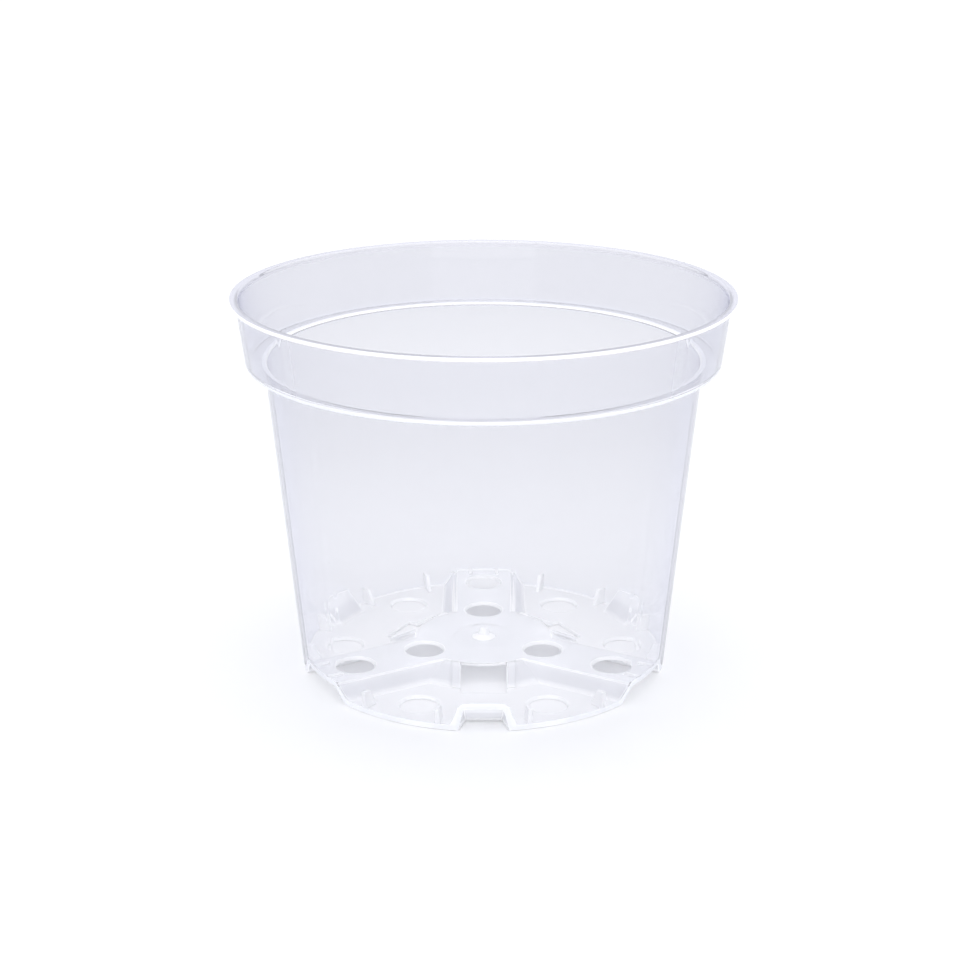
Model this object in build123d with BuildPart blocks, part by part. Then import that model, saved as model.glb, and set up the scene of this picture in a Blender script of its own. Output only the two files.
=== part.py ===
from build123d import *
import os
from math import hypot, sqrt

# Clear orchid pot: one thin-walled moulding, drawn as regions that meet face to face.
# Millimetres, +Z up, origin on the ground under the pot's axis. The front of the pot faces -Y.

# Body
total_height = 108.5
base_radius = 52.8  # outside of the side wall at the ground
wall_top_radius = 61.1  # outside of the side wall under the shelf
wall_thickness = 0.9  # side wall, shelf and rim band alike

# Rim
shelf_height = 89.9  # underside of the shelf above the ground
shelf_bend = 0.65  # legs of the bevel inside the bend from shelf to band
band_foot_radius = 66.3  # outside of the band above the bend
band_top_radius = 68.3  # outside of the band under the lip
lip_overhang = 1.7  # past the outside of the band
lip_thickness = 1.2
lip_bevel = 0.35
foot_bevel = 0.4  # along the bottom edge of the wall

# Floors and the sloping plates between them
floor_thickness = 1.0
raised_height = 5.4  # top of the raised floor above the ground
disc_radius = 20.0  # top of the raised disc
disc_foot_radius = 30.0  # foot of the disc's sloping edge on the ground
arm_width = 17.8  # top of each raised arm
arm_foot_width = 27.2  # foot of each arm's sloping sides on the ground
riser_thickness = 0.9

# Drain holes
hole_diameter = 11.5
inner_hole_circle = 19.7  # radius of the circle of holes at the roots of the arms
inner_hole_land = 2.5  # plain floor outside those holes, which still counts as the centre
hole_margin = 4.85  # plain floor between the outer holes and the wall
foot_hole_angle = 25.4  # each side of the middle of a foot floor

# Slots in the disc's sloping edge
slot_width = 12.9
jamb_width = 2.6  # raised strip at each side of a slot
jamb_rise = 0.4

# Notches in the bottom edge, closed inside by ramps
notch_height = 7.0
notch_top_width = 10.8
notch_foot_width = 14.4
ramp_foot_width = 9.7
ramp_run = 6.5  # from the wall's outside on the ground in to the foot of the ramp
ramp_thickness = 0.9

# Ribs
stacking_rib_angles = (-39.0, -13.9, 13.9, 39.0)  # from the middle of a foot floor
stacking_rib_height = 6.0
stacking_rib_top_depth = 2.7
stacking_rib_foot_depth = 4.6
stacking_rib_thickness = 1.3
arm_rib_spacing = 8.5
arm_rib_length = 4.5
arm_rib_height = 0.7
arm_rib_thickness = 1.2

# Gate mark at the centre of the floor
gate_well_radius = 8.7
gate_well_depth = 0.3
gate_base_radius = 3.6
gate_base_height = 0.9
gate_pip_radius = 1.7
gate_pip_top_radius = 1.2
gate_pip_height = 2.6

# Sizes that follow from the ones above
hole_radius = hole_diameter / 2
floor_under = raised_height - floor_thickness
band_end = total_height - lip_thickness
lip_radius = band_top_radius + lip_overhang
reach = 2 * base_radius  # past the wall from the axis
arm_joint = inner_hole_circle + hole_radius + inner_hole_land
ramp_foot = base_radius - ramp_run

# Directions round the axis, from +X. Regions are drawn along +X and turned to these.
foot_turns = {"front": -90, "right": 30, "left": 150}
arm_turns = {"back": 90, "right": -30, "left": -150}
half_sector = 60


def wall_outside(height):
    return base_radius + (wall_top_radius - base_radius) * height / shelf_height


def wall_inside(height):
    return wall_outside(height) - wall_thickness


def disc_edge(height):
    return disc_foot_radius + (disc_radius - disc_foot_radius) * height / raised_height


def arm_edge(height):
    return (arm_foot_width + (arm_width - arm_foot_width) * height / raised_height) / 2


def level_thickness(thickness, run, rise):
    """What a sloping plate measures along the ground."""
    return thickness * hypot(run, rise) / rise


disc_skin = level_thickness(riser_thickness, disc_foot_radius - disc_radius, raised_height)
arm_skin = level_thickness(riser_thickness, (arm_foot_width - arm_width) / 2, raised_height)
jamb_skin = level_thickness(jamb_rise, disc_foot_radius - disc_radius, raised_height)
arm_hole_circle = wall_inside(raised_height) - hole_margin - hole_radius
foot_hole_circle = wall_inside(0) - hole_margin - hole_radius


def turned(*outline):
    """A solid of revolution with this outline of (radius, height) corners."""
    with BuildPart() as body:
        with BuildSketch(Plane.XZ):
            with BuildLine():
                Polyline(*outline, close=True)
            make_face()
        revolve(axis=Axis.Z)
    return body.part


def arm_prism(foot_half, top_half, top):
    """A bar with sloping sides from the axis out along +X and past the wall."""
    with BuildPart() as body:
        with BuildSketch(Plane.YZ):
            with BuildLine():
                Polyline((-foot_half, 0), (foot_half, 0), (top_half, top), (-top_half, top), close=True)
            make_face()
        extrude(amount=reach)
    return body.part


def notch_space(plate, cap):
    """The space under and outside a notch's ramp, grown by a plate and carried up to a cap height."""
    rise_share = cap / notch_height
    run = wall_outside(notch_height) - ramp_foot
    foot_in = ramp_foot - level_thickness(plate, run, notch_height)
    top_in = foot_in + run * rise_share
    out = top_in + ramp_run
    flare = (notch_foot_width - ramp_foot_width) / ramp_run
    top_width = ramp_foot_width + (notch_top_width - ramp_foot_width) * rise_share
    sections = ((0, foot_in, ramp_foot_width), (cap, top_in, top_width))
    with BuildPart() as body:
        for height, inner, width in sections:
            inner_half = width / 2 + plate
            outer_half = inner_half + flare * (out - inner) / 2
            with BuildSketch(Plane.XY.offset(height)):
                with BuildLine():
                    Polyline(
                        (inner, -inner_half), (out, -outer_half), (out, outer_half), (inner, inner_half),
                        close=True,
                    )
                make_face()
        loft(ruled=True)
    return body.part


def sector(low, high):
    """The third of the pot about +X, between two heights."""
    with BuildPart() as body:
        with BuildSketch(Plane.XZ):
            with BuildLine():
                Polyline((0, low), (reach, low), (reach, high), (0, high), close=True)
            make_face()
        revolve(axis=Axis.Z, revolution_arc=2 * half_sector)
    with BuildPart() as centred:
        add(body.part, rotation=(0, 0, -half_sector))
    return centred.part


# Spaces and forms that the regions are cut from
cavity = turned((0, 0), (wall_inside(0), 0), (wall_inside(shelf_height), shelf_height), (0, shelf_height))
disc_form = turned((0, 0), (disc_foot_radius, 0), (disc_radius, raised_height), (0, raised_height))
disc_void = turned(
    (0, 0),
    (disc_foot_radius - disc_skin, 0),
    (disc_edge(floor_under) - disc_skin, floor_under),
    (0, floor_under),
)
jamb_form = turned(
    (0, floor_thickness),
    (disc_edge(floor_thickness) + jamb_skin, floor_thickness),
    (disc_radius + jamb_skin, raised_height),
    (0, raised_height),
)
arm_form = arm_prism(arm_foot_width / 2, arm_width / 2, raised_height)
arm_void = arm_prism(arm_foot_width / 2 - arm_skin, arm_edge(floor_under) - arm_skin, floor_under)
notch_void = notch_space(0, notch_height)
notch_form = notch_space(ramp_thickness, notch_height + 2 * ramp_thickness)


# Rim lip: flat flange with bevelled edges
with BuildPart() as rim_lip:
    with BuildSketch(Plane.XZ):
        with BuildLine():
            Polyline(
                (band_top_radius - wall_thickness, band_end),
                (lip_radius, band_end),
                (lip_radius, total_height),
                (band_top_radius - wall_thickness, total_height),
                close=True,
            )
        make_face()
        chamfer(vertices().group_by(Axis.X)[-1], lip_bevel)
        chamfer(vertices().group_by(Axis.Y)[-1].sort_by(Axis.X)[0], lip_bevel)
    revolve(axis=Axis.Z)

# Rim band: tapered strip from the shelf's bend up to the lip
shelf_top = shelf_height + wall_thickness
band_start = shelf_top + shelf_bend
rim_band = turned(
    (band_foot_radius - wall_thickness, band_start),
    (band_foot_radius, band_start),
    (band_top_radius, band_end),
    (band_top_radius - wall_thickness, band_end),
)

# Rim shelf: flat step on top of the side wall, with a bevelled bend of the same thickness up to the band
bend_outside = shelf_bend + (2 - sqrt(2)) * wall_thickness
rim_shelf = turned(
    (wall_inside(shelf_height), shelf_height),
    (band_foot_radius - bend_outside, shelf_height),
    (band_foot_radius, shelf_height + bend_outside),
    (band_foot_radius, band_start),
    (band_foot_radius - wall_thickness, band_start),
    (band_foot_radius - wall_thickness - shelf_bend, shelf_top),
    (wall_inside(shelf_height), shelf_top),
)

# Side wall: plain cone above the arches, with the tops of the notches in its lower edge
with BuildPart() as side_wall:
    with BuildSketch(Plane.XZ):
        with BuildLine():
            Polyline(
                (wall_inside(floor_under), floor_under),
                (wall_outside(floor_under), floor_under),
                (wall_top_radius, shelf_height),
                (wall_inside(shelf_height), shelf_height),
                close=True,
            )
        make_face()
    revolve(axis=Axis.Z)
    for turn in foot_turns.values():
        add(notch_void, rotation=(0, 0, turn), mode=Mode.SUBTRACT)

# Foot skirts: the wall below the arches, cut away under the arms and at the notch
with BuildPart() as foot_skirts:
    with BuildSketch(Plane.XZ):
        with BuildLine():
            Polyline(
                (wall_inside(0), 0),
                (base_radius, 0),
                (wall_outside(floor_under), floor_under),
                (wall_inside(floor_under), floor_under),
                close=True,
            )
        make_face()
        chamfer(vertices().group_by(Axis.Y)[0].sort_by(Axis.X)[-1], foot_bevel)
    revolve(axis=Axis.Z)
    add(sector(0, floor_under), mode=Mode.INTERSECT)
    add(notch_void, mode=Mode.SUBTRACT)
    for turn in (-half_sector, half_sector):
        add(arm_void, rotation=(0, 0, turn), mode=Mode.SUBTRACT)

# Centre floor: raised disc with the roots of the arms, the inner drain holes and the gate well
with BuildPart() as centre_floor:
    for turn in arm_turns.values():
        add(arm_form, rotation=(0, 0, turn))
    with BuildSketch():
        for turn in arm_turns.values():
            with Locations(Location((0, 0, 0), (0, 0, turn))):
                Rectangle(arm_joint, arm_foot_width, align=(Align.MIN, Align.CENTER))
    extrude(amount=raised_height, mode=Mode.INTERSECT)
    add(disc_form)
    with BuildSketch(Plane.XY.offset(floor_under)):
        Circle(reach)
    extrude(amount=floor_thickness, mode=Mode.INTERSECT)
    with BuildSketch(Plane.XY.offset(floor_under)):
        with PolarLocations(inner_hole_circle, len(arm_turns), start_angle=arm_turns["back"]):
            Circle(hole_radius)
    extrude(amount=floor_thickness, mode=Mode.SUBTRACT)
    with BuildSketch(Plane.XY.offset(raised_height - gate_well_depth)):
        Circle(gate_well_radius)
    extrude(amount=gate_well_depth, mode=Mode.SUBTRACT)

# Gate nub: low cone with a tapered pip, standing in the well
gate_floor = raised_height - gate_well_depth
gate_nub = turned(
    (0, gate_floor),
    (gate_base_radius, gate_floor),
    (gate_pip_radius, gate_floor + gate_base_height),
    (gate_pip_top_radius, gate_floor + gate_pip_height),
    (0, gate_floor + gate_pip_height),
)

# Drain arm: raised channel floor from the centre to the wall, with its outer drain hole
with BuildPart() as drain_arm:
    add(arm_form)
    add(cavity, mode=Mode.INTERSECT)
    with BuildSketch(Plane.XY.offset(floor_under)):
        with Locations((arm_joint, 0)):
            Rectangle(reach, arm_foot_width, align=(Align.MIN, Align.CENTER))
    extrude(amount=floor_thickness, mode=Mode.INTERSECT)
    with BuildSketch(Plane.XY.offset(floor_under)):
        with Locations((arm_hole_circle, 0)):
            Circle(hole_radius)
    extrude(amount=floor_thickness, mode=Mode.SUBTRACT)

# Arm ribs: two low ribs on the arm beside the wall
with BuildPart() as arm_ribs:
    with BuildSketch(Plane.XY.offset(raised_height)):
        with Locations((wall_inside(raised_height) - arm_rib_length, 0)):
            with GridLocations(0, arm_rib_spacing, 1, 2):
                Rectangle(reach, arm_rib_thickness, align=(Align.MIN, Align.CENTER))
    extrude(amount=arm_rib_height)
    add(cavity, mode=Mode.INTERSECT)

# Arm flanks: sloping sides of the two arms that bound a foot floor
with BuildPart() as arm_flanks:
    for turn in (-half_sector, half_sector):
        add(arm_form, rotation=(0, 0, turn))
    add(sector(0, floor_under), mode=Mode.INTERSECT)
    add(cavity, mode=Mode.INTERSECT)
    for turn in (-half_sector, half_sector):
        add(arm_void, rotation=(0, 0, turn), mode=Mode.SUBTRACT)
    add(disc_void, mode=Mode.SUBTRACT)

# Slot risers: sloping edge of the disc between slot and arm, with a raised jamb along the slot
with BuildPart() as jambs:
    with BuildSketch(Plane.XY.offset(floor_thickness)):
        with GridLocations(0, slot_width + jamb_width, 1, 2):
            Rectangle(reach, jamb_width, align=(Align.MIN, Align.CENTER))
    extrude(amount=raised_height - floor_thickness)
    add(jamb_form, mode=Mode.INTERSECT)
    add(disc_form, mode=Mode.SUBTRACT)
with BuildPart() as slot_risers:
    add(disc_form)
    add(sector(0, floor_under), mode=Mode.INTERSECT)
    add(disc_void, mode=Mode.SUBTRACT)
    for turn in (-half_sector, half_sector):
        add(arm_form, rotation=(0, 0, turn), mode=Mode.SUBTRACT)
    with BuildSketch():
        Rectangle(reach, slot_width, align=(Align.MIN, Align.CENTER))
    extrude(amount=floor_under, mode=Mode.SUBTRACT)
    add(jambs.part)

# Foot floor: lowered floor between two arms, with its drain holes and the slot's outer edge
with BuildPart() as foot_floor:
    add(sector(0, floor_thickness))
    add(cavity, mode=Mode.INTERSECT)
    add(disc_form, mode=Mode.SUBTRACT)
    for turn in (-half_sector, half_sector):
        add(arm_form, rotation=(0, 0, turn), mode=Mode.SUBTRACT)
    add(notch_form, mode=Mode.SUBTRACT)
    with BuildSketch():
        Rectangle(disc_foot_radius, slot_width, align=(Align.MIN, Align.CENTER))
        for angle in (-foot_hole_angle, foot_hole_angle):
            with PolarLocations(foot_hole_circle, 1, start_angle=angle):
                Circle(hole_radius)
    extrude(amount=floor_thickness, mode=Mode.SUBTRACT)

# Notch ramp: sloping plate and its two cheeks
with BuildPart() as notch_ramp:
    add(notch_form)
    add(cavity, mode=Mode.INTERSECT)
    add(notch_void, mode=Mode.SUBTRACT)

# Stacking ribs: upright gussets on the foot floor against the wall
with BuildPart() as stacking_ribs:
    for angle in stacking_rib_angles:
        with BuildSketch(Plane.XZ.rotated((0, 0, angle))):
            with BuildLine():
                Polyline(
                    (wall_inside(floor_thickness) - stacking_rib_foot_depth, floor_thickness),
                    (base_radius, floor_thickness),
                    (base_radius, stacking_rib_height),
                    (wall_inside(stacking_rib_height) - stacking_rib_top_depth, stacking_rib_height),
                    close=True,
                )
            make_face()
        extrude(amount=stacking_rib_thickness / 2, both=True)
    add(cavity, mode=Mode.INTERSECT)


def save(piece, name, turn=0):
    """Write one region, turned from +X to its place round the axis."""
    with BuildPart() as placed:
        add(piece, rotation=(0, 0, turn))
    placed.part.label = name
    export_step(placed.part, f"parts/{name}.step")


os.makedirs("parts", exist_ok=True)
save(rim_lip.part, "rim_lip")
save(rim_band, "rim_band")
save(rim_shelf, "rim_shelf")
save(side_wall.part, "side_wall")
save(centre_floor.part, "centre_floor")
save(gate_nub, "gate_nub")
for side, turn in arm_turns.items():
    save(drain_arm.part, f"drain_arm_{side}", turn)
    save(arm_ribs.part, f"arm_ribs_{side}", turn)
for side, turn in foot_turns.items():
    save(foot_skirts.part, f"foot_skirts_{side}", turn)
    save(arm_flanks.part, f"arm_flanks_{side}", turn)
    save(slot_risers.part, f"slot_risers_{side}", turn)
    save(foot_floor.part, f"foot_floor_{side}", turn)
    save(notch_ramp.part, f"notch_ramp_{side}", turn)
    save(stacking_ribs.part, f"stacking_ribs_{side}", turn)
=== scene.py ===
"""Looks of the clear orchid pot: one continuous moulded shell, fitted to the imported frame."""

from math import atan, atan2, cos, hypot, pi, radians, sin, sqrt, tan

import bpy
import bmesh
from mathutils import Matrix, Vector
from mathutils.geometry import delaunay_2d_cdt


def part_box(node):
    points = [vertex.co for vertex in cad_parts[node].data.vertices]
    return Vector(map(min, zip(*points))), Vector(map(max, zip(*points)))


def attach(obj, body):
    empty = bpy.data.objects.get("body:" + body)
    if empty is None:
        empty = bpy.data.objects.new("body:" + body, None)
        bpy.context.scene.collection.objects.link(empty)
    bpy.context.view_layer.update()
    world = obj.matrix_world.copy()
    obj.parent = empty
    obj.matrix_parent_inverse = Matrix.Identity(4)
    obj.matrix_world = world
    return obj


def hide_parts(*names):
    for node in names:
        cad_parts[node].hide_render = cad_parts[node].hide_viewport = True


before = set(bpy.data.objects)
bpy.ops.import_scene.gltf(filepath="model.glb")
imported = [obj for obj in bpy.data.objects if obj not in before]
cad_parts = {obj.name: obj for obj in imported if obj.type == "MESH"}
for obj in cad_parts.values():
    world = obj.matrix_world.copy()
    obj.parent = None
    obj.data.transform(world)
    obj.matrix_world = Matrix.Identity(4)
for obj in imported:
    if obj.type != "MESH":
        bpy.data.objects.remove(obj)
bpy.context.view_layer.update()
scene = bpy.context.scene

# Sizes in millimetres. The frame gives the main ones, and the rest repeat the part's own.
mm = 0.001
lip_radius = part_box("rim_lip")[1].x / mm
total_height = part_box("rim_lip")[1].z / mm
band_top_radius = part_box("rim_band")[1].x / mm
band_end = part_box("rim_band")[1].z / mm
band_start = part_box("rim_band")[0].z / mm
band_foot_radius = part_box("rim_shelf")[1].x / mm
shelf_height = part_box("rim_shelf")[0].z / mm
wall_top_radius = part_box("side_wall")[1].x / mm
raised_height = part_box("centre_floor")[1].z / mm
base_radius = 52.8
plastic = 0.95  # thickness of the shell

disc_radius = 20.0
disc_foot_radius = 30.0
arm_half_width = 8.9
arm_foot_half_width = 13.6
slot_half_width = 6.45
slot_foot = 30.0
jamb_width = 2.6
jamb_rise = 0.4
jamb_step = 0.15

hole_radius = 5.75
hole_foot_radius = 5.2
inner_hole_circle = 19.7
arm_hole_circle = 41.8
foot_hole_circle = 41.3
foot_hole_angle = radians(25.4)

notch_height = 7.0
notch_top_half_width = 5.4
notch_foot_half_width = 7.2
ramp_foot_half_width = 4.85
ramp_run = 6.5

rib_angles = (-39.0, -13.9, 13.9, 39.0)
rib_height = 6.0
rib_top_depth = 2.7
rib_foot_depth = 4.6
rib_thickness = 1.3
arm_rib_offset = 4.25
arm_rib_length = 4.5
arm_rib_height = 0.7
arm_rib_thickness = 1.2

well_radius = 8.7
well_depth = 0.3
well_step = 0.3
gate_base_radius = 3.6
gate_base_height = 0.9
gate_pip_radius = 1.7
gate_pip_top_radius = 1.2
gate_pip_height = 2.6
gate_rounds = (0.6, 0.5, 0.8)  # at the pip's top, the pip's foot and the base's foot

# Fineness of the mesh
crest_steps = 4
heel_steps = 3
valley_steps = 4
corner_steps = 3
bend_steps = 5
blend_steps = 5
hole_steps = 24
middle_steps = 12
slot_steps = 4
disc_edge_steps = 4
arm_edge_steps = 8
arm_end_steps = 7
foot_edge_steps = 25
ramp_steps = 14
ramp_width_steps = 3
search_steps = 40  # for the place where a line of the ramp meets the wall
round_segments = 2
support = 0.55  # width of the strip of faces along an open edge
strip_height = 1.75  # of the pale strip of painted light on the wall's outside that hides the edge of a floor or ramp
strip_width = 1.9  # of the same strip beside an edge that runs upward
edge_divisions = 8  # of each step of that edge, for the outline of the strip
edge_round = 0.22
rib_round = 0.2
rib_gap = 0.04  # each rib stops this far short of the shell
fill_tolerance = 1e-5
weld_distance = 0.003
sliver_width = 0.002

# Finishes of the plastic, as numbers of material slots
inside = 0  # wall and rim, seen from the mouth
outside = 1  # wall and rim, seen from around the pot
hazy = 2  # floors
painted_highlight = 3  # rounded edges and ribs, painted nearly opaque white as a painted highlight and painted light piping
painted_glow = 4  # pale strips of painted light that hide the light caught where two walls join
open_edge = 5  # faces across the thickness, until their edges are rounded

# A sixth of the pot is drawn from a foot floor's middle at +X, then mirrored and turned to these angles
half_sector = radians(60)
foot_turns = (radians(-90), radians(30), radians(150))


def mixed(start, end, share):
    return start + (end - start) * share


def spread(start, end, steps):
    """Even values from start to end, both included."""
    return [mixed(start, end, step / steps) for step in range(steps + 1)]


def arc(centre, radius, start, end, steps):
    return [
        (centre[0] + radius * cos(turn), centre[1] + radius * sin(turn))
        for turn in spread(start, end, steps)
    ]


def turn_of(point):
    return atan2(point[1], point[0])


def on_arm(along, across):
    """Plan point from its distance along an arm's axis and its distance from that axis."""
    return (
        along * cos(half_sector) + across * sin(half_sector),
        along * sin(half_sector) - across * cos(half_sector),
    )


def slope_rows(top, foot, crest, heel):
    """(reach, height) from the top to the foot of a slope, with an arc at its crest and at its heel."""
    turn = atan2(top[1] - foot[1], foot[0] - top[0])
    crest_start = top[0] - crest * tan(turn / 2)
    heel_end = foot[0] + heel * tan(turn / 2)
    rows = []
    for angle in spread(0, turn, crest_steps):
        rows.append((crest_start + crest * sin(angle), top[1] - crest * (1 - cos(angle))))
    for angle in spread(turn, 0, heel_steps):
        rows.append((heel_end - heel * sin(angle), foot[1] + heel * (1 - cos(angle))))
    return rows


def rounded_line(points, radii):
    """The points with each corner between the two ends turned into an arc."""
    line = [points[0]]
    for before, corner, after, radius in zip(points, points[1:], points[2:], radii):
        inward = (Vector(corner) - Vector(before)).normalized()
        onward = (Vector(after) - Vector(corner)).normalized()
        turn = inward.angle_signed(onward)
        side = Vector((-inward.y, inward.x)) * (-1 if turn > 0 else 1)
        start = Vector(corner) - inward * (radius * tan(abs(turn) / 2))
        for angle in spread(0, abs(turn), bend_steps):
            onto_arc = inward * (radius * sin(angle)) + side * (radius * (1 - cos(angle)))
            line.append(tuple(start + onto_arc))
    line.append(points[-1])
    return line


def grid_faces(lines, finish):
    """(quad, finish) between neighbouring lines of as many points."""
    faces = []
    for row, (near, far) in enumerate(zip(lines, lines[1:])):
        for index in range(len(near) - 1):
            quad = (near[index], near[index + 1], far[index + 1], far[index])
            faces.append((quad, finish(row, index)))
    return faces


def filled(outline, height, lines=(), points=(), hole=None):
    """Triangles that fill a plan outline and keep its inner lines, points and (centre, radius) hole."""
    coords = [Vector(point[:2]) for point in outline]
    edges = [(index, (index + 1) % len(outline)) for index in range(len(outline))]
    for line in lines:
        start = len(coords)
        coords += [Vector(point) for point in line]
        edges += [(start + index, start + index + 1) for index in range(len(line) - 1)]
    coords += [Vector(point) for point in points]
    inside_only = 1
    verts, _, triangles, *_ = delaunay_2d_cdt(coords, edges, [], inside_only, fill_tolerance)
    faces = []
    for triangle in triangles:
        corners = [verts[index] for index in triangle]
        middle = sum(corners, Vector((0, 0))) / 3
        if hole and (middle - Vector(hole[0])).length < hole[1]:
            continue
        faces.append(([(corner.x, corner.y, height(corner)) for corner in corners], hazy))
    return faces


# Grades that both skins of the shell share
wall_angle = atan2(shelf_height, wall_top_radius - base_radius)
notch_top_reach = base_radius + (wall_top_radius - base_radius) * notch_height / shelf_height
ramp_rise_run = notch_top_reach - base_radius + ramp_run
ramp_grade = notch_height / ramp_rise_run
cheek_flare = (notch_foot_half_width - ramp_foot_half_width) / ramp_run
cheek_growth = (notch_top_half_width - ramp_foot_half_width) / notch_height
cheek_batter = cheek_flare / ramp_grade - cheek_growth
cheek_lean = atan(cheek_flare / cheek_batter)
cheek_turn = atan2(1, cheek_batter)
band_grade = (band_top_radius - band_foot_radius) / (band_end - band_start)
skirt_top = 14.0  # height above which every upright line of the wall has the same points


class Skin:
    """One side of the shell, over a sixth of the pot from a notch's middle to an arm's axis."""

    def __init__(
        self, depth, crest, heel, valley, corner, ramp_crest, ramp_heel, bends, bend_finishes, rim_strip,
        lift, hole, middle,
    ):
        self.depth = depth  # how far this side lies behind the upper and inner one
        self.middle = middle  # (radius, height over the raised floor) of the gate's rings
        self.hole = hole
        self.valley = valley
        self.corner = corner
        self.ramp_crest = ramp_crest
        self.ramp_heel = ramp_heel
        self.lift = lift
        self.floor = plastic - depth
        self.raised = raised_height - depth
        self.disc_rows = self.slope(disc_radius, disc_foot_radius, crest, heel)
        self.arm_rows = self.slope(arm_half_width, arm_foot_half_width, crest, heel)
        self.ramp_half_width = ramp_foot_half_width + plastic - depth
        level = (plastic - depth) * hypot(ramp_rise_run, notch_height) / notch_height
        self.ramp_start = base_radius - ramp_run - level
        self.broad = inside if depth == 0 else outside
        self.rim = self.rim_outline(bends)
        self.rim_finishes = [self.broad] * len(self.rim)  # of the faces that start at each point
        for bend, finish in enumerate(bend_finishes):
            start = 1 + bend * (bend_steps + 1)
            self.rim_finishes[start:start + bend_steps] = [finish] * bend_steps
        strip_bend, strip_run = rim_strip  # the bend that a strip follows, and the strip's width
        self.add_strip(1 + strip_bend * (bend_steps + 1) + bend_steps, strip_run)

    def slope(self, top_reach, foot_reach, crest, heel):
        """Rows down a slope that is drawn on the upper side, from the raised floor's top to the ground."""
        run = foot_reach - top_reach
        back = self.depth * hypot(run, raised_height) / raised_height
        top = foot_reach - back - run * self.raised / raised_height
        foot = foot_reach - back - run * self.floor / raised_height
        return slope_rows((top, self.raised), (foot, self.floor), crest, heel)

    def wall(self, height):
        outer = base_radius + (wall_top_radius - base_radius) * height / shelf_height
        return outer - plastic + self.depth

    def wall_foot(self, height, lean):
        """Plan radius at which a floor that rises outwards by an angle starts its bend into the wall."""
        rise = self.corner * (cos(lean) - cos(wall_angle))
        run = self.corner * (sin(wall_angle) - sin(lean))
        return self.wall(height + rise) - run

    def floor_arc(self, start_turn, end_turn, height, steps):
        """Points of a level floor's edge along the wall."""
        points = arc((0, 0), self.wall_foot(height, 0), start_turn, end_turn, steps)
        return [(*point, height) for point in points]

    def riser_row(self, row):
        """One level line round a foot floor's inner edge: slot, then jamb, disc edge, valley and arm."""
        reach, disc_height = self.disc_rows[row]
        width, arm_height = self.arm_rows[row]
        last = len(self.disc_rows) - 1
        lift = self.lift * min(row / crest_steps, (last - row) / heel_steps, 1)
        slope = atan2(raised_height, disc_foot_radius - disc_radius)

        def on_disc(across, raised):
            out = reach + raised * sin(slope)
            return (sqrt(out * out - across * across), across, disc_height + raised * cos(slope))

        jamb_end = slot_half_width + jamb_width
        jamb_columns = (slot_half_width, slot_half_width + support, jamb_end - support, jamb_end)
        valley_width = width + self.valley
        valley_along = sqrt((reach + self.valley) ** 2 - valley_width ** 2)
        first_turn = atan2(-valley_width, -valley_along)
        valley = []
        for share in spread(0, 1, valley_steps):
            turn = mixed(first_turn, -pi / 2, share)
            plan = on_arm(valley_along + self.valley * cos(turn), valley_width + self.valley * sin(turn))
            valley.append((*plan, mixed(disc_height, arm_height, share)))
        end = sqrt(self.wall_foot(arm_height, 0) ** 2 - width ** 2)
        slot = [on_disc(across, 0) for across in slot_columns]
        jamb = [on_disc(across, lift) for across in jamb_columns]
        disc_columns = spread(jamb_end + jamb_step, valley[0][1], disc_edge_steps)[:-1]
        disc = [on_disc(across, 0) for across in disc_columns]
        arm_columns = spread(valley_along, end, arm_edge_steps)[1:]
        arm = [(*on_arm(along, width), arm_height) for along in arm_columns]
        return slot, jamb + disc + valley + arm

    def raised_floor(self, edge):
        """Disc and arm: faces, the points along the wall, and the edges of the holes."""
        rim = self.floor_arc(turn_of(edge[-1]), half_sector, self.raised, arm_end_steps)
        middle = [(radius, self.raised + height) for radius, height in self.middle]
        outline = [*[(radius, 0) for radius, _ in middle], *edge, *rim[1:]]
        lines = []
        holes = []
        half_turn = spread(0, pi, hole_steps)
        for circle in (arm_hole_circle, inner_hole_circle):
            ring, around = [
                [on_arm(circle + radius * cos(turn), radius * sin(turn)) for turn in half_turn]
                for radius in (self.hole, hole_radius + support)
            ]
            outline += [around[0], *ring, around[-1]]
            lines.append(around)
            holes.append([(*point, self.raised) for point in ring])
        for radius, _ in reversed(middle[1:]):
            outline.append(on_arm(radius, 0))
            lines.append(arc((0, 0), radius, 0, half_sector, middle_steps))

        def height(point):
            nearest = min(middle, key=lambda ring: abs(ring[0] - point.length))
            return nearest[1] if point.length < middle[-1][0] else self.raised

        faces = []
        for face, finish in filled(outline, height, lines):
            # The gate's nub is painted white, a painted highlight
            on_nub = max(point[2] for point in face) > self.raised
            faces.append((face, painted_highlight if on_nub else finish))
        return faces, rim, holes

    def ramp_height(self, reach):
        """Height of the ramp over the floor at some distance from the pot's axis, eased into the floor."""
        above = (reach - self.ramp_start) * ramp_grade - self.floor
        if above <= -self.ramp_heel:
            return 0
        if above >= self.ramp_heel:
            return above
        return (above + self.ramp_heel) ** 2 / (4 * self.ramp_heel)

    def ramp_section(self, reach):
        """(across, height) from the ramp's middle over its edge and down its cheek to the floor."""
        drop = self.ramp_height(reach)
        straight_drop = support / 4
        full_drop = (self.ramp_crest + self.ramp_heel) * (1 - cos(cheek_turn)) + straight_drop
        full = max(drop, full_drop)
        edge = self.ramp_half_width + cheek_growth * (drop + self.floor)
        rows = slope_rows((edge, full), (edge + full * cheek_batter, 0), self.ramp_crest, self.ramp_heel)
        middle = [(across, full) for across in spread(0, rows[0][0] - support, ramp_width_steps)]
        section = [*middle, *rows, (rows[-1][0] + support, 0)]
        return [(across, self.floor + height * drop / full) for across, height in section]

    def ramp_lean(self, index):
        """How steeply each line of the ramp's section runs up to the wall."""
        below_slope = index - (len(self.ramp_section(self.ramp_start)) - 2 - heel_steps)
        if below_slope < 0:
            return atan(ramp_grade)
        return cheek_lean * max(0, 1 - below_slope / heel_steps)

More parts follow.
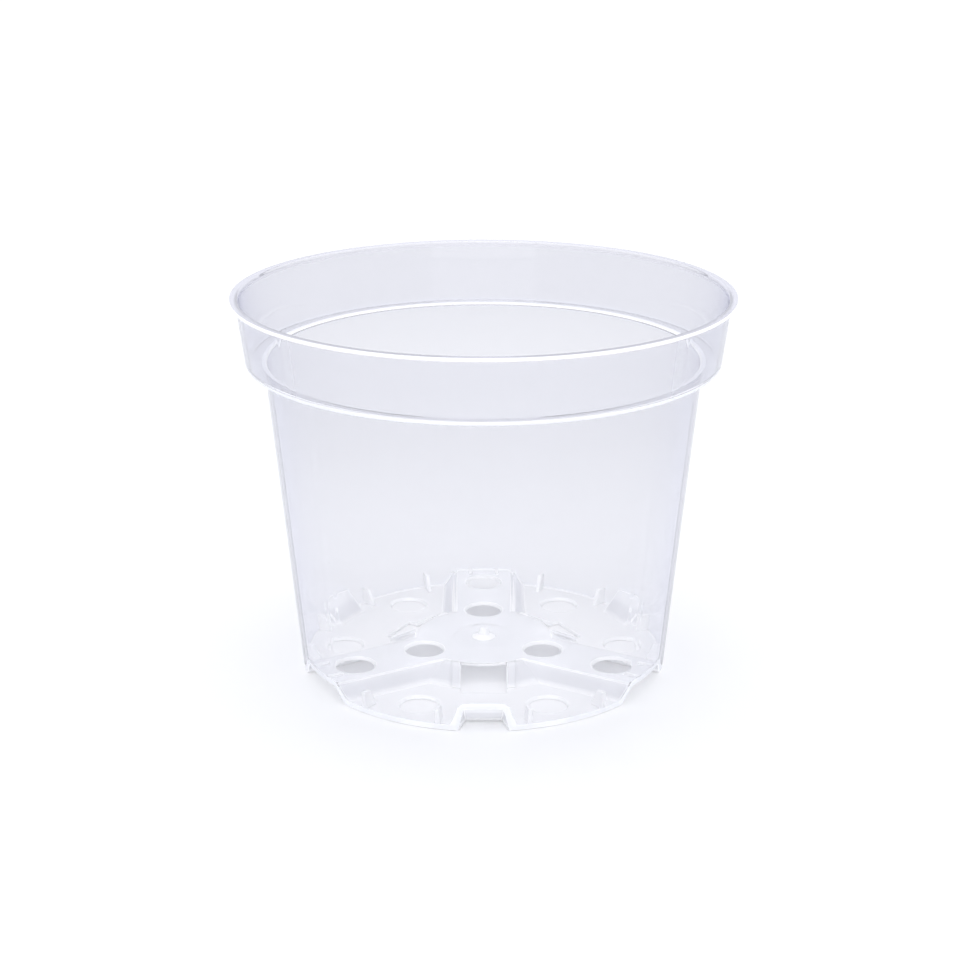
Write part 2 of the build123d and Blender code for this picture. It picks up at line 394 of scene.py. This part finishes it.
    def ramp_wall_reach(self, index):
        """Distance along the sector's axis at which a line of the ramp's section meets the wall."""
        low = self.ramp_start
        high = notch_top_reach
        for _ in range(search_steps):
            reach = (low + high) / 2
            across, height = self.ramp_section(reach)[index]
            if hypot(reach, across) < self.wall_foot(height, self.ramp_lean(index)):
                low = reach
            else:
                high = reach
        return low

    def ramp_lines(self):
        """Lines up the ramp and its cheek, from the floor to the wall."""
        first = self.ramp_start + (self.floor - self.ramp_heel) / ramp_grade
        lines = []
        for index in range(len(self.ramp_section(first))):
            line = []
            for reach in spread(first, self.ramp_wall_reach(index), ramp_steps):
                across, height = self.ramp_section(reach)[index]
                line.append((reach, across, height))
            lines.append(line)
        return lines

    def foot_floor(self, edge, ramp):
        """Lowered floor round the ramp: faces, points along the wall, slot edge and hole edge."""
        rim = self.floor_arc(turn_of(ramp[-1][-1]), turn_of(edge[-1]), self.floor, foot_edge_steps)
        across_slot = (*slot_columns, slot_half_width)
        slot = [(slot_foot, across, self.floor) for across in across_slot]
        beside_slot = [(slot_foot + support, across) for across in across_slot]
        ramp_outline = [*reversed(ramp[-1]), *[line[0] for line in reversed(ramp[:-1])]]
        outline = [*slot, *edge, *reversed(rim[1:-1]), *ramp_outline]
        centre = (foot_hole_circle * cos(foot_hole_angle), foot_hole_circle * sin(foot_hole_angle))
        ring, around = [
            arc(centre, radius, 0, 2 * pi, 2 * hole_steps)
            for radius in (self.hole, hole_radius + support)
        ]
        faces = filled(outline, lambda point: self.floor, (ring, around), beside_slot, (centre, self.hole))
        return faces, rim, slot, [(*point, self.floor) for point in ring]

    def rim_outline(self, bends):
        """(radius, height) up the wall, over the shelf, up the band and out to the lip's edge."""
        shelf = shelf_height + plastic - self.depth
        lip = total_height - self.depth

        def band(height):
            return band_foot_radius - plastic + self.depth + band_grade * (height - band_start)

        corners = [
            (self.wall(skirt_top), skirt_top),
            (self.wall(shelf), shelf),
            (band(shelf), shelf),
            (band(lip), lip),
            (lip_radius - support, lip),
        ]
        return [*rounded_line(corners, bends), (lip_radius, lip)]

    def add_strip(self, start, width):
        """Sets a narrow strip off from the run of the rim that starts at a point."""
        here = Vector(self.rim[start])
        onward = (Vector(self.rim[start + 1]) - here).normalized()
        self.rim.insert(start + 1, tuple(here + onward * width))
        self.rim_finishes.insert(start, painted_glow)

    def wall_column(self, point, lean, strip_top):
        """Points from the edge of the floor up the wall to the lip's edge."""
        radius = hypot(point[0], point[1])
        outline = []
        for angle in spread(lean, wall_angle, corner_steps):
            out = radius + self.corner * (sin(angle) - sin(lean))
            outline.append((out, point[2] + self.corner * (cos(lean) - cos(angle))))
        for height in spread(max(strip_top, outline[-1][1] + support), skirt_top, blend_steps)[:-1]:
            outline.append((self.wall(height), height))
        across = Vector(point[:2]) / radius
        return [(out * across.x, out * across.y, height) for out, height in outline + self.rim]

    def build(self):
        """Faces of this side, and the lines along its open edges."""
        rows = [self.riser_row(row) for row in range(len(self.disc_rows))]
        risers = [riser for _, riser in rows]
        brow = [[*slot, riser[0]] for slot, riser in rows[: crest_steps + 1]]
        raised, raised_rim, holes = self.raised_floor([*rows[0][0], *risers[0]])
        ramp = self.ramp_lines()
        lowered, lowered_rim, slot, hole = self.foot_floor(risers[-1], ramp)
        edge = [(line[-1], self.ramp_lean(index)) for index, line in enumerate(ramp)]
        edge += [(point, 0) for point in lowered_rim[1:]]
        edge += [(riser[-1], 0) for riser in reversed(risers[:-1])]
        edge += [(point, 0) for point in raised_rim[1:]]
        fine_edge = []
        for (point, _), (after, _) in zip(edge, edge[1:]):
            for share in spread(0, 1, edge_divisions):
                fine_edge.append(Vector(point).lerp(Vector(after), share))
        columns = []
        for point, lean in edge:
            tops = []
            for other in fine_edge:
                away = hypot(other.x - point[0], other.y - point[1]) / strip_width
                if away < 1:
                    tops.append(other.z + strip_height * sqrt(1 - away ** 2))
            columns.append(self.wall_column(point, lean, max(tops)))

        # Rounded rows of risers, brow, ramp crests and wall corners are painted white as a painted
        # highlight
        def riser_finish(row, index):
            return hazy if row == crest_steps else painted_highlight

        def ramp_finish(row, index):
            past_crest = row - (len(ramp) - 2 - heel_steps - 1 - crest_steps)
            return painted_highlight if 0 <= past_crest < crest_steps else hazy

        def column_finish(row, index):
            past_skirt = index - corner_steps - blend_steps - 1
            if index < corner_steps:
                return painted_highlight
            # The lowest row of the wall's outside takes the pale strip of painted light
            if index == corner_steps and self.depth > 0:
                return painted_glow
            return self.rim_finishes[past_skirt] if past_skirt >= 0 else self.broad

        faces = grid_faces(risers, riser_finish)
        faces += grid_faces(brow, lambda row, index: painted_highlight)
        faces += grid_faces(ramp, ramp_finish)
        faces += grid_faces(columns, column_finish)
        faces += raised + lowered
        slot_outline = [*brow[-1], *[riser[0] for riser in risers[crest_steps + 1:]], *reversed(slot)]
        lip = [column[-1] for column in columns]
        return faces, [*holes, hole, slot_outline, lip]


slot_columns = spread(0, slot_half_width - support, slot_steps)

gate = rounded_line(
    [
        (0, gate_pip_height - well_depth),
        (gate_pip_top_radius, gate_pip_height - well_depth),
        (gate_pip_radius, gate_base_height - well_depth),
        (gate_base_radius, -well_depth),
        (well_radius - well_step, -well_depth),
    ],
    gate_rounds,
)

# The upper skin's first rim bend is painted white as a painted highlight
upper = Skin(
    depth=0, crest=1.0, heel=0.45, valley=0.7, corner=0.45, ramp_crest=0.6, ramp_heel=0.3,
    bends=(0.6, 1.1, 0.7), bend_finishes=(painted_highlight, inside), rim_strip=(0, 0.9),
    lift=jamb_rise, hole=hole_radius, middle=[*gate, (well_radius, 0)],
)
# The lower skin's rim bends take the pale strip of painted light
lower = Skin(
    depth=plastic, crest=0.6, heel=0.35, valley=1.2, corner=0.3, ramp_crest=0.25, ramp_heel=0.15,
    bends=(0.5, 1.1, 0.4), bend_finishes=(painted_glow, painted_glow), rim_strip=(1, 0.4),
    lift=0, hole=hole_foot_radius, middle=[(0, 0), (gate_base_radius, 0), (well_radius, 0)],
)


def add_node(tree, kind, **values):
    """A shader node with these input values set. Underscores stand for the spaces in input names."""
    node = tree.nodes.new(kind)
    for name, value in values.items():
        node.inputs[name.replace("_", " ")].default_value = value
    return node


def set_by_height(tree, stops, socket):
    """Sets a socket from (height, value) stops: a lone stop's value, or one that goes with height."""
    colours = [value if isinstance(value, tuple) else (value, value, value) for _, value in stops]
    if len(stops) == 1:
        socket.default_value = (*colours[0], 1) if socket.type == "RGBA" else stops[0][1]
        return
    place = add_node(tree, "ShaderNodeTexCoord")
    parts = add_node(tree, "ShaderNodeSeparateXYZ")
    share = add_node(tree, "ShaderNodeMapRange", From_Max=total_height * mm)
    ramp = add_node(tree, "ShaderNodeValToRGB")
    tree.links.new(place.outputs["Object"], parts.inputs["Vector"])
    tree.links.new(parts.outputs["Z"], share.inputs["Value"])
    tree.links.new(share.outputs["Result"], ramp.inputs["Fac"])
    points = ramp.color_ramp.elements
    points.remove(points[1])
    for index, (height, _) in enumerate(stops):
        point = points[0] if index == 0 else points.new(height / total_height)
        point.position = height / total_height
        point.color = (*colours[index], 1)
    tree.links.new(ramp.outputs["Color"], socket)


# Optics that all the finishes share
refraction = 1.3
grazing_power = 4
ripple_scale = 45
ripple_detail = 2
least_roughness = 0.01
most_roughness = 0.05


# Clear plastic with a faint lavender tint, and its rounded edges, painted white as a painted highlight
def plastic_finish(name, tints, clearness, grazing_tint, shadow_pass):
    """Tint and clearness go with height: the floors and rim are cloudier, the foot floors carry painted
    light and the slopes painted shade.

    shadow_pass is the share of light that one surface lets into its own shadow.
    """
    material = bpy.data.materials.new(name)
    material.use_nodes = True
    tree = material.node_tree
    shader = tree.nodes["Principled BSDF"]
    shader.inputs["IOR"].default_value = refraction
    facing = add_node(tree, "ShaderNodeLayerWeight")
    grazing = add_node(tree, "ShaderNodeMath")
    grazing.operation = "POWER"
    grazing.inputs[1].default_value = grazing_power
    longer = add_node(tree, "ShaderNodeMix")
    longer.data_type = "RGBA"
    longer.blend_type = "MULTIPLY"
    longer.inputs["B"].default_value = (*grazing_tint, 1)  # a slanting ray passes through more plastic
    tree.links.new(facing.outputs["Facing"], grazing.inputs[0])
    tree.links.new(grazing.outputs[0], longer.inputs["Factor"])
    set_by_height(tree, tints, longer.inputs["A"])
    tree.links.new(longer.outputs["Result"], shader.inputs["Base Color"])
    side = add_node(tree, "ShaderNodeNewGeometry")
    leaving = add_node(tree, "ShaderNodeMath")
    leaving.operation = "MAXIMUM"  # light that is already inside leaves without more haze
    tree.links.new(side.outputs["Backfacing"], leaving.inputs[0])
    set_by_height(tree, clearness, leaving.inputs[1])
    tree.links.new(leaving.outputs[0], shader.inputs["Transmission Weight"])
    place = add_node(tree, "ShaderNodeTexCoord")
    noise = add_node(tree, "ShaderNodeTexNoise", Scale=ripple_scale, Detail=ripple_detail)
    gloss = add_node(tree, "ShaderNodeMapRange", To_Min=least_roughness, To_Max=most_roughness)
    tree.links.new(place.outputs["Object"], noise.inputs["Vector"])
    tree.links.new(noise.outputs["Fac"], gloss.inputs["Value"])
    tree.links.new(gloss.outputs["Result"], shader.inputs["Roughness"])
    path = add_node(tree, "ShaderNodeLightPath")
    passing = add_node(tree, "ShaderNodeMath")
    passing.operation = "MULTIPLY"
    passing.inputs[1].default_value = shadow_pass
    through = add_node(tree, "ShaderNodeBsdfTransparent")
    surface = add_node(tree, "ShaderNodeMixShader")
    tree.links.new(path.outputs["Is Shadow Ray"], passing.inputs[0])
    tree.links.new(passing.outputs[0], surface.inputs["Fac"])
    tree.links.new(shader.outputs["BSDF"], surface.inputs[1])
    tree.links.new(through.outputs["BSDF"], surface.inputs[2])
    tree.links.new(surface.outputs["Shader"], tree.nodes["Material Output"].inputs["Surface"])
    return material


# Tints of the finishes. On the inside the wall darkens from the foot up towards the rim.
foot_tint = (0.95, 0.95, 0.96)
wall_tint = (0.83, 0.83, 0.845)
shoulder_tint = (0.66, 0.66, 0.695)
rim_tint = (0.63, 0.63, 0.68)
lip_tint = (0.74, 0.74, 0.79)
outside_tint = (0.93, 0.932, 0.95)
# Foot floors: whiter and cloudier than the raised floors, painted light for the bright ground that shows
# through them
foot_floor_painted_light_tint = (0.985, 0.985, 0.99)
# Slopes: darker than the floors, painted shade for their tilt away from the light
slope_painted_shade_tint = (0.85, 0.855, 0.88)
raised_floor_tint = (0.965, 0.97, 0.985)
# Near-white tint of rounded edges and ribs: a painted highlight and painted light piping
painted_highlight_tint = (0.985, 0.985, 0.99)
# Pale tint of the strips at joints: painted light
painted_glow_tint = (0.92, 0.93, 0.97)
silhouette_tint = (0.64, 0.66, 0.84)
level_tint = (0.9, 0.91, 0.95)

# Clearness of the finishes, and the share of light that each surface lets into its shadow
wall_clearness = 0.97
band_inside_clearness = 0.93
upper_wall_clearness = 0.93
shoulder_clearness = 0.86
band_clearness = 0.73
lip_clearness = 0.35
foot_floor_clearness = 0.12
raised_clearness = 0.3
# Nearly opaque, so the edges show the painted highlight instead of the plastic behind
painted_highlight_clearness = 0.03
# Nearly opaque, so the strip shows painted light instead of the dark refraction behind
painted_glow_clearness = 0.1
clear_pass = 1
floor_pass = 0.8

# Heights between which tint and clearness change
slope_start = plastic + 0.3
slope_end = raised_height - 1
raised_start = raised_height - 0.2
below_shelf = shelf_height - 1
above_shelf = shelf_height + 1
below_lip = total_height - 1.6
lip_foot = total_height - 0.9

finishes = [
    plastic_finish(
        "clear_inside",
        [
            (0, foot_tint),
            (shelf_height / 2, wall_tint),
            (below_shelf, shoulder_tint),
            (above_shelf, rim_tint),
            (below_lip, rim_tint),
            (lip_foot, lip_tint),
        ],
        [
            (below_shelf, wall_clearness),
            (above_shelf, band_inside_clearness),
            (below_lip, band_inside_clearness),
            (lip_foot, lip_clearness),
        ],
        silhouette_tint,
        clear_pass,
    ),
    plastic_finish(
        "clear_outside",
        [(0, outside_tint)],
        [
            (shelf_height / 3, wall_clearness),
            (shelf_height * 2 / 3, upper_wall_clearness),
            (below_shelf, shoulder_clearness),
            (above_shelf, band_clearness),
            (below_lip, band_clearness),
            (lip_foot, lip_clearness),
        ],
        silhouette_tint,
        clear_pass,
    ),
    # Hazy floors: the foot floors are lighter as painted light, the slopes darker as painted shade
    plastic_finish(
        "hazy_plastic",
        [
            (slope_start, foot_floor_painted_light_tint),
            (slope_start + 1, slope_painted_shade_tint),
            (slope_end, slope_painted_shade_tint),
            (raised_start, raised_floor_tint),
        ],
        [(slope_start, foot_floor_clearness), (slope_start + 1, raised_clearness)],
        level_tint,
        floor_pass,
    ),
    # Rounded edges and ribs, white as a painted highlight
    plastic_finish("painted_highlight_plastic", [(0, painted_highlight_tint)], [(0, painted_highlight_clearness)], painted_highlight_tint, clear_pass),
    # Strips at joints, pale as painted light
    plastic_finish("painted_glow_plastic", [(0, painted_glow_tint)], [(0, painted_glow_clearness)], painted_glow_tint, clear_pass),
]


def turned(point, turn, side):
    x, y, z = point
    y = y * side
    return (x * cos(turn) - y * sin(turn), x * sin(turn) + y * cos(turn), z)


def new_object(name, points, faces, materials):
    """A mesh object in metres from points in millimetres."""
    mesh = bpy.data.meshes.new(name)
    mesh.from_pydata([[value * mm for value in point] for point in points], [], faces)
    for finish in materials:
        mesh.materials.append(finish)
    piece = bpy.data.objects.new(name, mesh)
    scene.collection.objects.link(piece)
    return piece


def round_edges(shape, edges, width):
    rounded = bmesh.ops.bevel(
        shape, geom=edges, offset=width * mm, offset_type="OFFSET", segments=round_segments, profile=0.5,
        affect="EDGES", clamp_overlap=False,
    )
    # Every rounded face takes the white finish of the painted highlight
    for face in rounded["faces"]:
        face.material_index = painted_highlight


def shell():
    """The whole moulding as one closed solid, with its open edges rounded."""
    upper_faces, upper_edges = upper.build()
    lower_faces, lower_edges = lower.build()
    pattern = upper_faces + lower_faces
    for above, below in zip(upper_edges, lower_edges):
        pattern += grid_faces([above, below], lambda row, index: open_edge)
    points = []
    faces = []
    face_finishes = []
    for turn in foot_turns:
        for side in (1, -1):
            for face, finish in pattern:
                start = len(points)
                points += [turned(point, turn, side) for point in face]
                faces.append(tuple(range(start, len(points))))
                face_finishes.append(finish)
    piece = new_object("pot_moulding", points, faces, finishes)
    piece.data.polygons.foreach_set("material_index", face_finishes)
    shape = bmesh.new()
    shape.from_mesh(piece.data)
    bmesh.ops.remove_doubles(shape, verts=shape.verts, dist=weld_distance * mm)
    bmesh.ops.dissolve_degenerate(shape, edges=shape.edges, dist=sliver_width * mm)
    bmesh.ops.recalc_face_normals(shape, faces=shape.faces)
    sharp = []
    for edge in shape.edges:
        beside = [face.material_index for face in edge.link_faces]
        if beside.count(open_edge) == 1:
            sharp.append(edge)
    round_edges(shape, sharp, edge_round)
    for face in shape.faces:
        if face.material_index == open_edge:
            face.material_index = painted_highlight
    shape.to_mesh(piece.data)
    shape.free()
    return piece


def settle(piece):
    """Works a piece's modifiers into its mesh."""
    shown = piece.evaluated_get(bpy.context.evaluated_depsgraph_get())
    mesh = bpy.data.meshes.new_from_object(shown)
    piece.modifiers.clear()
    piece.data = mesh


def add_plate(shape, outline, thickness, offset, turn):
    """A rounded plate from an upright (reach, height) outline, set beside the axis it is turned to."""
    plate = bmesh.new()
    sides = []
    for across in (offset - thickness / 2, offset + thickness / 2):
        points = [turned((reach, across, height), turn, 1) for reach, height in outline]
        sides.append([plate.verts.new(Vector(point) * mm) for point in points])
    near, far = sides
    plate.faces.new(near)
    plate.faces.new(list(reversed(far)))
    for index in range(len(outline)):
        after = (index + 1) % len(outline)
        plate.faces.new((near[index], far[index], far[after], near[after]))
    bmesh.ops.recalc_face_normals(plate, faces=plate.faces)
    # The whole rib is painted white, a painted highlight and painted light piping
    for face in plate.faces:
        face.material_index = painted_highlight
    round_edges(plate, plate.edges[:], rib_round)
    add_shape(shape, plate)


def add_shape(shape, other):
    mesh = bpy.data.meshes.new("added")
    other.to_mesh(mesh)
    other.free()
    shape.from_mesh(mesh)
    bpy.data.meshes.remove(mesh)


def ribs():
    """Gussets on the foot floors and low ribs at the ends of the arms, as one mesh."""
    shape = bmesh.new()
    foot = plastic + rib_gap
    arm = raised_height + rib_gap
    gusset = [
        (upper.wall(foot) - rib_foot_depth, foot),
        (upper.wall(foot) - upper.corner, foot),
        (upper.wall(foot + upper.corner) - rib_gap, foot + upper.corner),
        (upper.wall(rib_height) - rib_gap, rib_height),
        (upper.wall(rib_height) - rib_top_depth, rib_height),
    ]
    arm_rib = [
        (upper.wall(arm) - arm_rib_length, arm),
        (upper.wall(arm) - upper.corner, arm),
        (upper.wall(arm + upper.corner) - rib_gap, arm + upper.corner),
        (upper.wall(arm + arm_rib_height) - rib_gap, arm + arm_rib_height),
        (upper.wall(arm + arm_rib_height) - arm_rib_length, arm + arm_rib_height),
    ]
    for turn in foot_turns:
        for angle in rib_angles:
            add_plate(shape, gusset, rib_thickness, 0, turn + radians(angle))
        for offset in (-arm_rib_offset, arm_rib_offset):
            add_plate(shape, arm_rib, arm_rib_thickness, offset, turn + half_sector)
    piece = new_object("ribs", [], [], finishes)
    shape.to_mesh(piece.data)
    shape.free()
    return piece


def merge(piece, added):
    """Takes a second mesh into the first."""
    shape = bmesh.new()
    shape.from_mesh(piece.data)
    shape.from_mesh(added.data)
    shape.to_mesh(piece.data)
    shape.free()
    bpy.data.objects.remove(added)


def flat_faces(piece):
    """Smooth shading in which the large faces stay flat and the rounded edges take the turn."""
    for face in piece.data.polygons:
        face.use_smooth = True
    normals = piece.modifiers.new("normals", "WEIGHTED_NORMAL")
    normals.mode = "FACE_AREA"
    normals.weight = 50
    settle(piece)


pot = shell()
merge(pot, ribs())
flat_faces(pot)


def seen_directly(tree):
    """1 for rays that show the background: from the camera, from a reflection or through the plastic."""
    path = tree.nodes.new("ShaderNodeLightPath")
    first = tree.nodes.new("ShaderNodeMath")
    first.operation = "LESS_THAN"
    first.inputs[1].default_value = 0.5  # no bounce off a dull surface yet
    tree.links.new(path.outputs["Diffuse Depth"], first.inputs[0])
    total = path.outputs["Is Camera Ray"]
    for kind in ("Is Glossy Ray", "Is Transmission Ray"):
        add = tree.nodes.new("ShaderNodeMath")
        add.operation = "MAXIMUM"
        tree.links.new(total, add.inputs[0])
        tree.links.new(path.outputs[kind], add.inputs[1])
        total = add.outputs[0]
    direct = tree.nodes.new("ShaderNodeMath")
    direct.operation = "MULTIPLY"
    tree.links.new(total, direct.inputs[0])
    tree.links.new(first.outputs[0], direct.inputs[1])
    return direct.outputs[0]


# World: white behind the pot, a plain level of light on it and a soft glow straight above
room_light = (0.84, 0.85, 0.89, 1)
overhead_light = 0.8
overhead_focus = 4
world = bpy.data.worlds.new("studio")
world.use_nodes = True
scene.world = world
sky = world.node_tree
room = add_node(sky, "ShaderNodeMix")
room.data_type = "RGBA"
room.inputs["A"].default_value = room_light
room.inputs["B"].default_value = (1, 1, 1, 1)
direction = add_node(sky, "ShaderNodeTexCoord")
upward = add_node(sky, "ShaderNodeSeparateXYZ")
near_top = add_node(sky, "ShaderNodeMath")
near_top.operation = "POWER"
near_top.inputs[1].default_value = overhead_focus
overhead = add_node(sky, "ShaderNodeMath")
overhead.operation = "MULTIPLY"
overhead.inputs[1].default_value = overhead_light
light = add_node(sky, "ShaderNodeVectorMath")
sky.links.new(seen_directly(sky), room.inputs["Factor"])
sky.links.new(direction.outputs["Generated"], upward.inputs["Vector"])
sky.links.new(upward.outputs["Z"], near_top.inputs[0])
sky.links.new(near_top.outputs[0], overhead.inputs[0])
sky.links.new(room.outputs["Result"], light.inputs[0])
sky.links.new(overhead.outputs[0], light.inputs[1])
sky.links.new(light.outputs[0], sky.nodes["Background"].inputs["Color"])


# Floor: white where it is open, and it keeps the pot's faint shadow
floor_reach = 4000
floor_level = -0.2
floor_colour = (0.97, 0.97, 0.97, 1)
floor_paint = bpy.data.materials.new("floor_paint")
floor_paint.use_nodes = True
floor_shader = floor_paint.node_tree.nodes["Principled BSDF"]
floor_shader.inputs["Base Color"].default_value = floor_colour
floor_shader.inputs["Specular IOR Level"].default_value = 0
floor_shader.inputs["Roughness"].default_value = 1
floor_corners = [
    (-floor_reach, -floor_reach, floor_level),
    (floor_reach, -floor_reach, floor_level),
    (floor_reach, floor_reach, floor_level),
    (-floor_reach, floor_reach, floor_level),
]
floor = new_object("floor", floor_corners, [(0, 1, 2, 3)], [floor_paint])

# Lamp: broad light on the pot from low in front
lamp_strength = 0.7
lamp_breadth = radians(60)  # so broad that the level floors show no glare from behind
lamp_tilt = radians(70)
lamp = bpy.data.objects.new("lamp", bpy.data.lights.new("lamp", "SUN"))
lamp.data.energy = lamp_strength
lamp.data.angle = lamp_breadth
lamp.rotation_euler = (lamp_tilt, 0, 0)
scene.collection.objects.link(lamp)
lit = bpy.data.collections.new("lit_by_lamp")
lit.objects.link(pot)
lamp.light_linking.receiver_collection = lit

scene.view_settings.view_transform = "Standard"

# Camera at the photograph's viewing angle
camera_height = 0.2317541
camera_distance = 0.520658
camera_pitch = radians(19.3193)
camera_lens = 72.23
camera_sensor = 36
camera_shift = (-0.00375, 0.01467)
camera = bpy.data.objects.new("camera", bpy.data.cameras.new("camera"))
camera.location = (0, -camera_distance, camera_height)
camera.rotation_euler = (pi / 2 - camera_pitch, 0, 0)
camera.data.sensor_width = camera_sensor
camera.data.lens = camera_lens
camera.data.shift_x, camera.data.shift_y = camera_shift
camera.data.clip_start = 0.01
scene.collection.objects.link(camera)
scene.camera = camera

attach(pot, "root")
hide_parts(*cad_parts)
